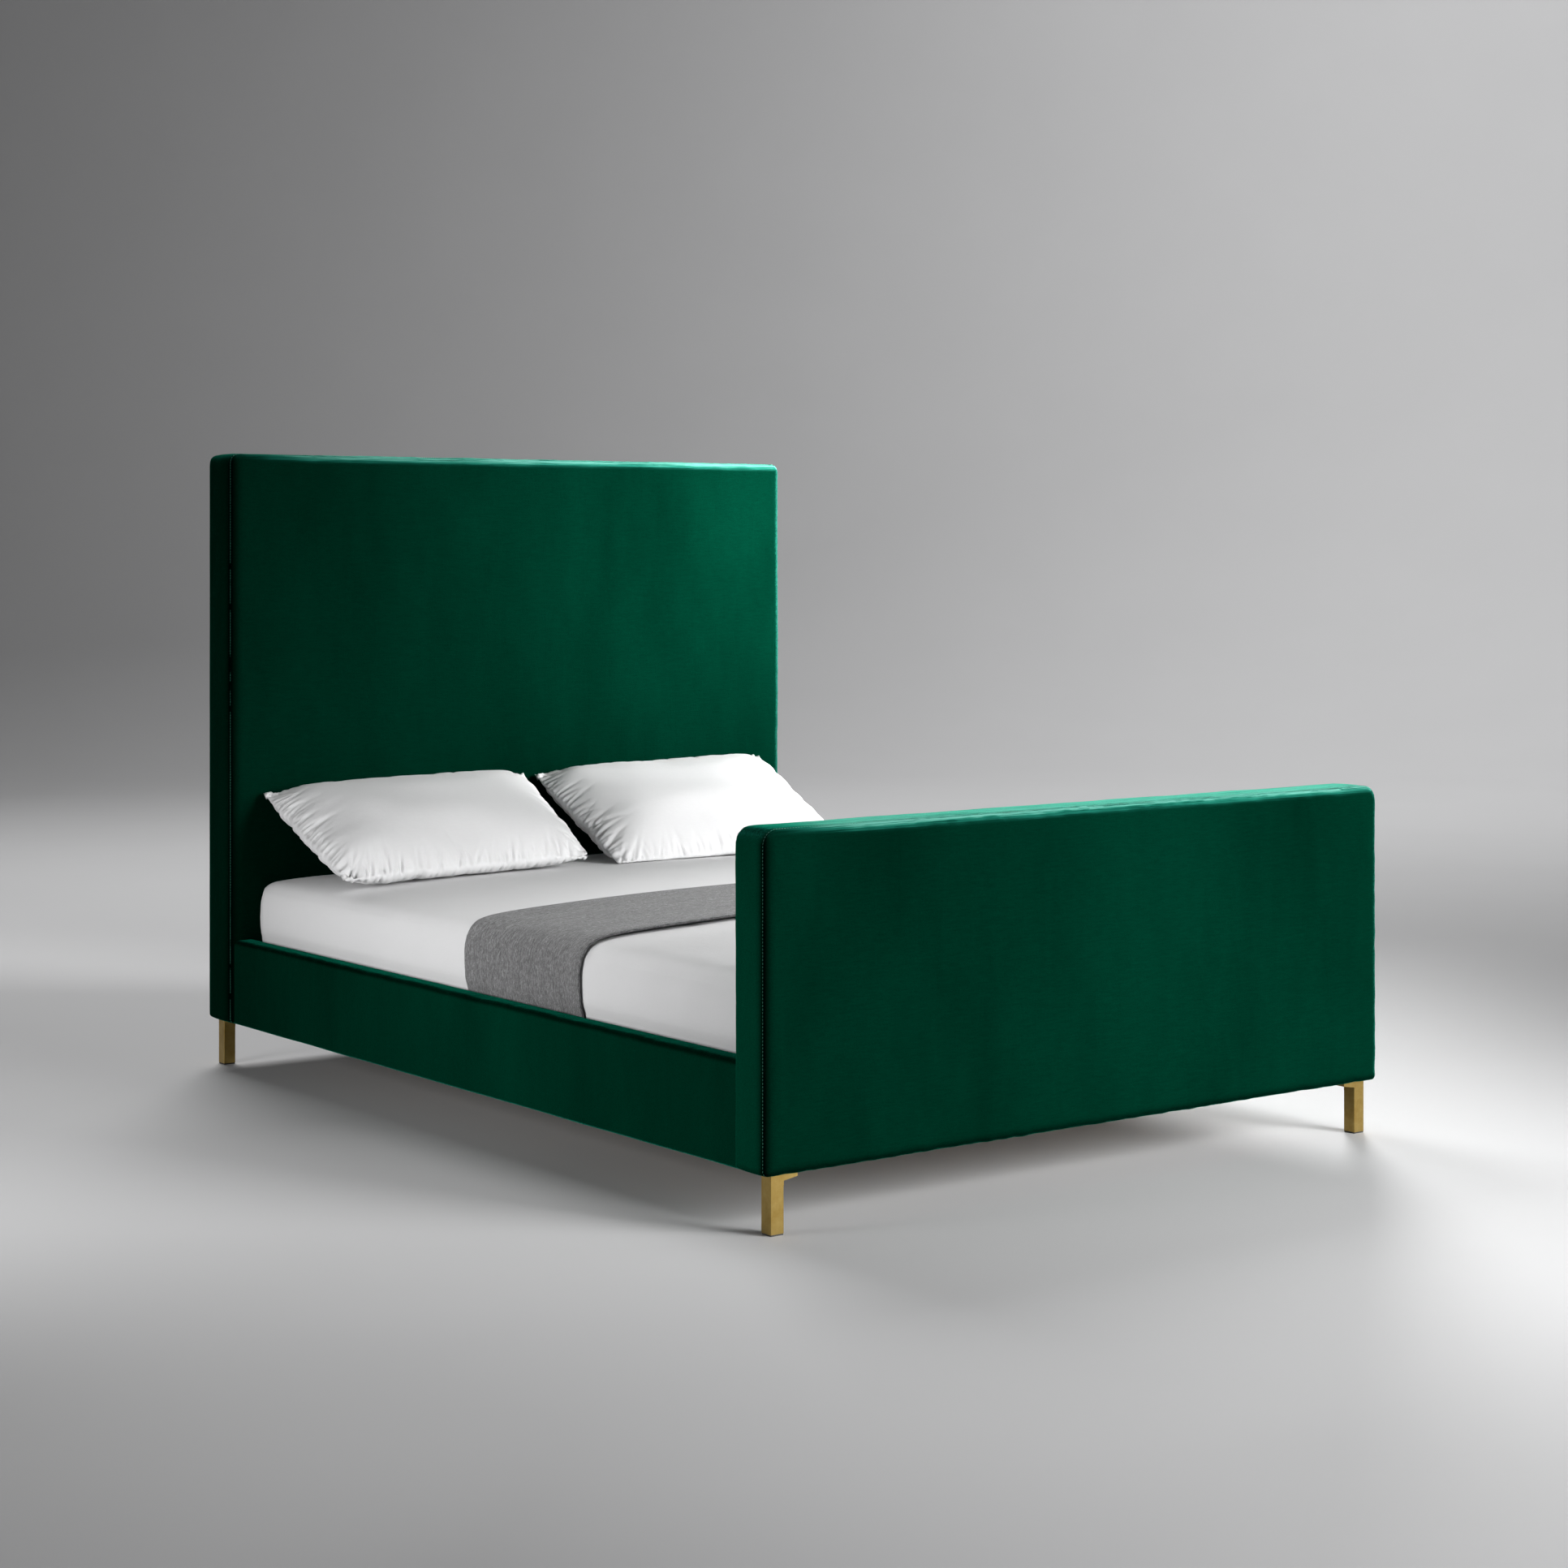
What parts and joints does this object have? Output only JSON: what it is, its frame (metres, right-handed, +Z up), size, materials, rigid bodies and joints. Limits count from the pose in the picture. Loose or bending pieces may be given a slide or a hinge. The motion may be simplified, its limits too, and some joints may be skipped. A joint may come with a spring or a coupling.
{
  "type": "upholstered headboard bed",
  "caption": "Velvet bed with a tall padded headboard, a padded footboard and side rails on short square metal legs, dressed with a mattress, sheet, pillows and a throw.",
  "frame": {"origin": "on the floor, under the middle of the whole bed", "axes": "+Y towards the headboard, +X to the right seen from the foot of the bed, +Z up"},
  "size_m": [1.65, 2.294, 1.492],
  "materials": {
    "velvet": "satin",
    "foam": "matte",
    "dust_cloth": "matte",
    "frame_timber": "matte",
    "plywood": "matte",
    "slat_timber": "satin",
    "webbing": "matte",
    "zinc_steel": "satin",
    "black_steel": "satin",
    "black_plastic": "matte",
    "brass": "satin",
    "ticking": "matte",
    "sheet_cotton": "matte",
    "throw_weave": "matte",
    "pillow_cotton": "satin"
  },
  "bodies": {
    "bed_frame": {"headboard_stile_left": "frame_timber", "headboard_stile_right": "frame_timber", "headboard_top_rail": "frame_timber", "headboard_mid_rail": "frame_timber", "headboard_bottom_rail": "frame_timber", "headboard_face_board": "plywood", "headboard_foam": "foam", "headboard_cover": "velvet", "headboard_back_cloth": "dust_cloth", "footboard_stile_left": "frame_timber", "footboard_stile_right": "frame_timber", "footboard_top_rail": "frame_timber", "footboard_bottom_rail": "frame_timber", "footboard_face_board": "plywood", "footboard_inner_board": "plywood", "footboard_foam": "foam", "footboard_cover": "velvet", "side_rail_left_board": "plywood", "side_rail_left_foam": "foam", "side_rail_left_cover": "velvet", "side_rail_right_board": "plywood", "side_rail_right_foam": "foam", "side_rail_right_cover": "velvet", "slat_ledge_left": "frame_timber", "slat_ledge_right": "frame_timber", "corner_bracket_head_left": "black_steel", "corner_bracket_head_right": "black_steel", "corner_bracket_foot_left": "black_steel", "corner_bracket_foot_right": "black_steel", "corner_bolts": "zinc_steel", "frame_screws": "zinc_steel", "beam_hangers": "black_steel", "centre_beam": "frame_timber", "centre_leg_head": "black_steel", "centre_leg_foot": "black_steel", "slat_01": "slat_timber", "slat_02": "slat_timber", "slat_03": "slat_timber", "slat_04": "slat_timber", "slat_05": "slat_timber", "slat_06": "slat_timber", "slat_07": "slat_timber", "slat_08": "slat_timber", "slat_09": "slat_timber", "slat_10": "slat_timber", "slat_11": "slat_timber", "slat_straps": "webbing", "leg_front_left": "brass", "leg_front_right": "brass", "leg_back_left": "brass", "leg_back_right": "brass", "leg_brackets": "brass", "leg_glides": "black_plastic"},
    "mattress_set": {"mattress": "ticking", "fitted_sheet": "sheet_cotton", "throw": "throw_weave"},
    "pillow_left": {"pillow_left": "pillow_cotton"},
    "pillow_right": {"pillow_right": "pillow_cotton"},
    "leveller_head": {"leveller_head": "black_plastic"},
    "leveller_foot": {"leveller_foot": "black_plastic"}
  },
  "joints": [
    {"name": "mattress_lift", "type": "slide", "parent": "bed_frame", "child": "mattress_set", "axis": [0, 0, 1], "range_m": [0, 0.55]},
    {"name": "pillow_left_lift", "type": "slide", "parent": "mattress_set", "child": "pillow_left", "axis": [0, 0, 1], "range_m": [0, 0.3]},
    {"name": "pillow_right_lift", "type": "slide", "parent": "mattress_set", "child": "pillow_right", "axis": [0, 0, 1], "range_m": [0, 0.3]},
    {"name": "leveller_head_screw", "type": "slide", "parent": "bed_frame", "child": "leveller_head", "axis": [0, 0, 1], "range_m": [0, 0.012]},
    {"name": "leveller_foot_screw", "type": "slide", "parent": "bed_frame", "child": "leveller_foot", "axis": [0, 0, 1], "range_m": [0, 0.012]}
  ]
}
